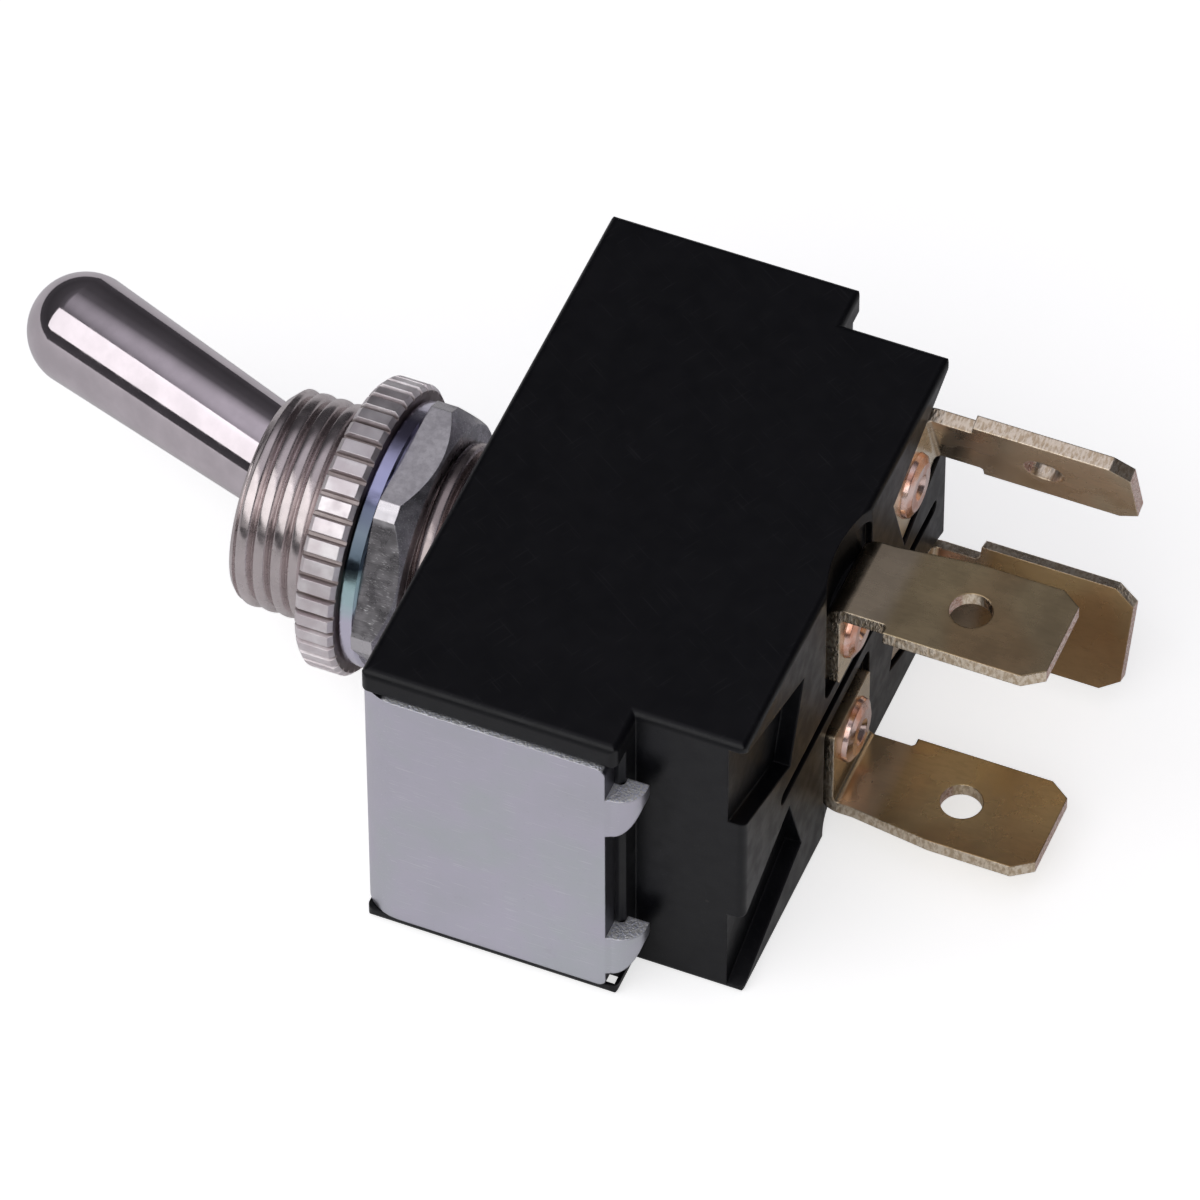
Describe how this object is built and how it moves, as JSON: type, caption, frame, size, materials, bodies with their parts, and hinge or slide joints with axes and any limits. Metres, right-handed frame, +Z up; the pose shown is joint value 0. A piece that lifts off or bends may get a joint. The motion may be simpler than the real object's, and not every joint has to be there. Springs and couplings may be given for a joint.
{
  "type": "panel toggle switch",
  "caption": "Double-pole on-off toggle switch with bat lever, threaded bushing with nuts and washer, folded bracket, moulded black housing and riveted push-on tabs.",
  "frame": {"origin": "middle of the exposed thread of the bushing, on the bushing's axis", "axes": "+Y along the bushing axis from the lever to the tabs, X along the length of the housing (the bat tip moves along it, toward +X for on), +Z up out of the upper broad side"},
  "size_m": [0.0344, 0.062, 0.0204],
  "materials": {
    "phenolic": "satin",
    "zinc_steel": "zinc plated, fine scratches",
    "fibre": "matt",
    "nickel": "nickel plated",
    "polished_nickel": "polished",
    "nut_steel": "zinc plated, tool marks",
    "blue_zinc": "bright blue zinc",
    "pin_steel": "ground",
    "spring_steel": "drawn wire",
    "actuator_plastic": "satin",
    "brass": "bare, slightly dull",
    "contact_brass": "stamped",
    "silver": "satin silver",
    "copper": "bare copper"
  },
  "bodies": {
    "switch_body": {"housing": "phenolic", "bracket": "zinc_steel", "insulator": "fibre", "bushing": "nickel", "hex_nut": "nut_steel", "washer": "blue_zinc", "knurled_nut": "nickel", "pivot_pin": "pin_steel", "support_upper": "contact_brass", "support_lower": "contact_brass", "fixed_contact_upper": "silver", "fixed_contact_lower": "silver", "centre_terminal_upper": "brass", "centre_terminal_lower": "brass", "end_terminal_upper": "brass", "end_terminal_lower": "brass", "centre_rivet_upper": "copper", "centre_rivet_lower": "copper", "end_rivet_upper": "copper", "end_rivet_lower": "copper"},
    "lever": {"lever": "polished_nickel", "actuator": "actuator_plastic", "spring_upper": "spring_steel", "spring_lower": "spring_steel"},
    "plunger_upper": {"plunger_upper": "contact_brass"},
    "plunger_lower": {"plunger_lower": "contact_brass"},
    "rocker_upper": {"rocker_upper": "contact_brass", "moving_contact_upper": "silver"},
    "rocker_lower": {"rocker_lower": "contact_brass", "moving_contact_lower": "silver"}
  },
  "joints": [
    {"name": "lever_swing", "type": "hinge", "parent": "switch_body", "child": "lever", "pos_m": [0, 0.00325, 0], "axis": [0, 0, 1], "range_deg": [0, 38]},
    {"name": "plunger_upper_slide", "type": "slide", "parent": "lever", "child": "plunger_upper", "axis": [-0.3256, -0.9455, 0], "range_m": [0, 0.0005], "stiffness_N_per_m": 400, "springref_m": -0.0015, "deforming": ["spring_upper"]},
    {"name": "plunger_lower_slide", "type": "slide", "parent": "lever", "child": "plunger_lower", "axis": [-0.3256, -0.9455, 0], "range_m": [0, 0.0005], "stiffness_N_per_m": 400, "springref_m": -0.0015, "deforming": ["spring_lower"]},
    {"name": "rocker_upper_tilt", "type": "hinge", "parent": "switch_body", "child": "rocker_upper", "pos_m": [0, 0.02425, 0.0043], "axis": [0, 0, 1], "range_deg": [-14, 0]},
    {"name": "rocker_lower_tilt", "type": "hinge", "parent": "switch_body", "child": "rocker_lower", "pos_m": [0, 0.02425, -0.0043], "axis": [0, 0, 1], "range_deg": [-14, 0]}
  ],
  "couplings": [
    {"joint": "rocker_upper_tilt", "follows": "lever_swing", "ratio": -0.36842},
    {"joint": "rocker_lower_tilt", "follows": "lever_swing", "ratio": -0.36842}
  ]
}
